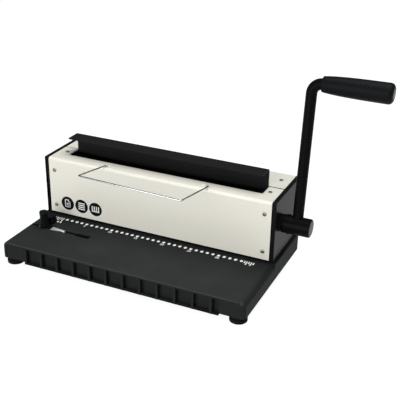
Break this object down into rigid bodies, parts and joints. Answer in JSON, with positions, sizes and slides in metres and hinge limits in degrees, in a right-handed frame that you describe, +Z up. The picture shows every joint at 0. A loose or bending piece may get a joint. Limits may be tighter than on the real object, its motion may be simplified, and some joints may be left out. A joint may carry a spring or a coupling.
{
  "type": "binding machine",
  "caption": "Desk punch and wire binding machine: side lever drives a row of punch pins and a closing hood over a lower jaw, with chip drawer and side guide.",
  "frame": {"origin": "on the desk surface, under the middle of the base", "axes": "+X to the lever side, +Y to the back, +Z up"},
  "size_m": [0.4905, 0.212, 0.2909],
  "materials": {
    "base_plastic": "finely textured charcoal moulding",
    "foot_rubber": "matt black rubber",
    "black_plate": "black powder coat",
    "cream_paint": "cream satin powder coat",
    "machined_steel": "ground steel",
    "fastener_steel": "dark zinc plating",
    "bearing_bronze": "sintered bronze",
    "spring_steel": "oiled spring steel",
    "black_steel": "satin black coat",
    "grip_plastic": "matt black moulded plastic",
    "chrome_wire": "bright chrome plating"
  },
  "bodies": {
    "frame": {"base_shell": "base_plastic", "rubber_feet": "foot_rubber", "foot_screws": "fastener_steel", "left_side_plate": "black_plate", "right_side_plate": "black_plate", "plate_screws": "fastener_steel", "front_cover": "cream_paint", "rear_cover": "cream_paint", "cover_screws": "fastener_steel", "left_cover_bracket": "machined_steel", "right_cover_bracket": "machined_steel", "bracket_screws": "fastener_steel", "die_plate": "machined_steel", "die_screws": "fastener_steel", "throat_spacers": "machined_steel", "paper_stop": "machined_steel", "guide_block": "machined_steel", "guide_block_screws": "fastener_steel", "guide_posts": "machined_steel", "lower_jaw": "black_steel", "jaw_screws": "fastener_steel", "left_bush": "bearing_bronze", "right_bush": "bearing_bronze", "bail_lugs": "cream_paint", "left_return_spring": "spring_steel", "right_return_spring": "spring_steel"},
    "press": {"press_beam": "machined_steel", "pin_plate": "machined_steel", "pin_plate_screws": "fastener_steel", "punch_pins": "machined_steel", "left_rack": "machined_steel", "right_rack": "machined_steel", "rack_screws": "fastener_steel", "left_hood_bracket": "black_steel", "right_hood_bracket": "black_steel", "hood_bracket_screws": "fastener_steel", "hood": "black_steel", "hood_screws": "fastener_steel"},
    "lever": {"main_shaft": "machined_steel", "left_pinion": "machined_steel", "right_pinion": "machined_steel", "pinion_pins": "fastener_steel", "shaft_rings": "fastener_steel", "lever_hub": "black_steel", "hub_pin": "fastener_steel", "lever_rod": "black_steel", "lever_grip": "grip_plastic"},
    "drawer": {"chip_tray": "base_plastic", "drawer_front": "base_plastic", "drawer_screws": "fastener_steel"},
    "side_guide": {"guide_knob": "grip_plastic", "guide_fence": "base_plastic", "guide_strip": "chrome_wire", "guide_nut": "machined_steel", "guide_screw": "fastener_steel"},
    "bail": {"wire_bail": "chrome_wire"}
  },
  "joints": [
    {"name": "lever_turn", "type": "hinge", "parent": "frame", "child": "lever", "pos_m": [0, 0.032, 0.0835], "axis": [1, 0, 0], "range_deg": [0, 95]},
    {"name": "press_slide", "type": "slide", "parent": "frame", "child": "press", "axis": [0, 0, -1], "range_m": [0, 0.0187], "stiffness_N_per_m": 2000, "springref_m": -0.02, "deforming": ["left_return_spring", "right_return_spring"]},
    {"name": "drawer_slide", "type": "slide", "parent": "frame", "child": "drawer", "axis": [0, -1, 0], "range_m": [0, 0.12]},
    {"name": "side_guide_slide", "type": "slide", "parent": "frame", "child": "side_guide", "axis": [1, 0, 0], "range_m": [-0.01, 0.041]},
    {"name": "bail_swing", "type": "hinge", "parent": "frame", "child": "bail", "pos_m": [0, 0.0107, 0.12555], "axis": [-1, 0, 0], "range_deg": [0, 95]}
  ],
  "couplings": [
    {"joint": "press_slide", "follows": "lever_turn", "m_per_rad": 0.01125}
  ]
}
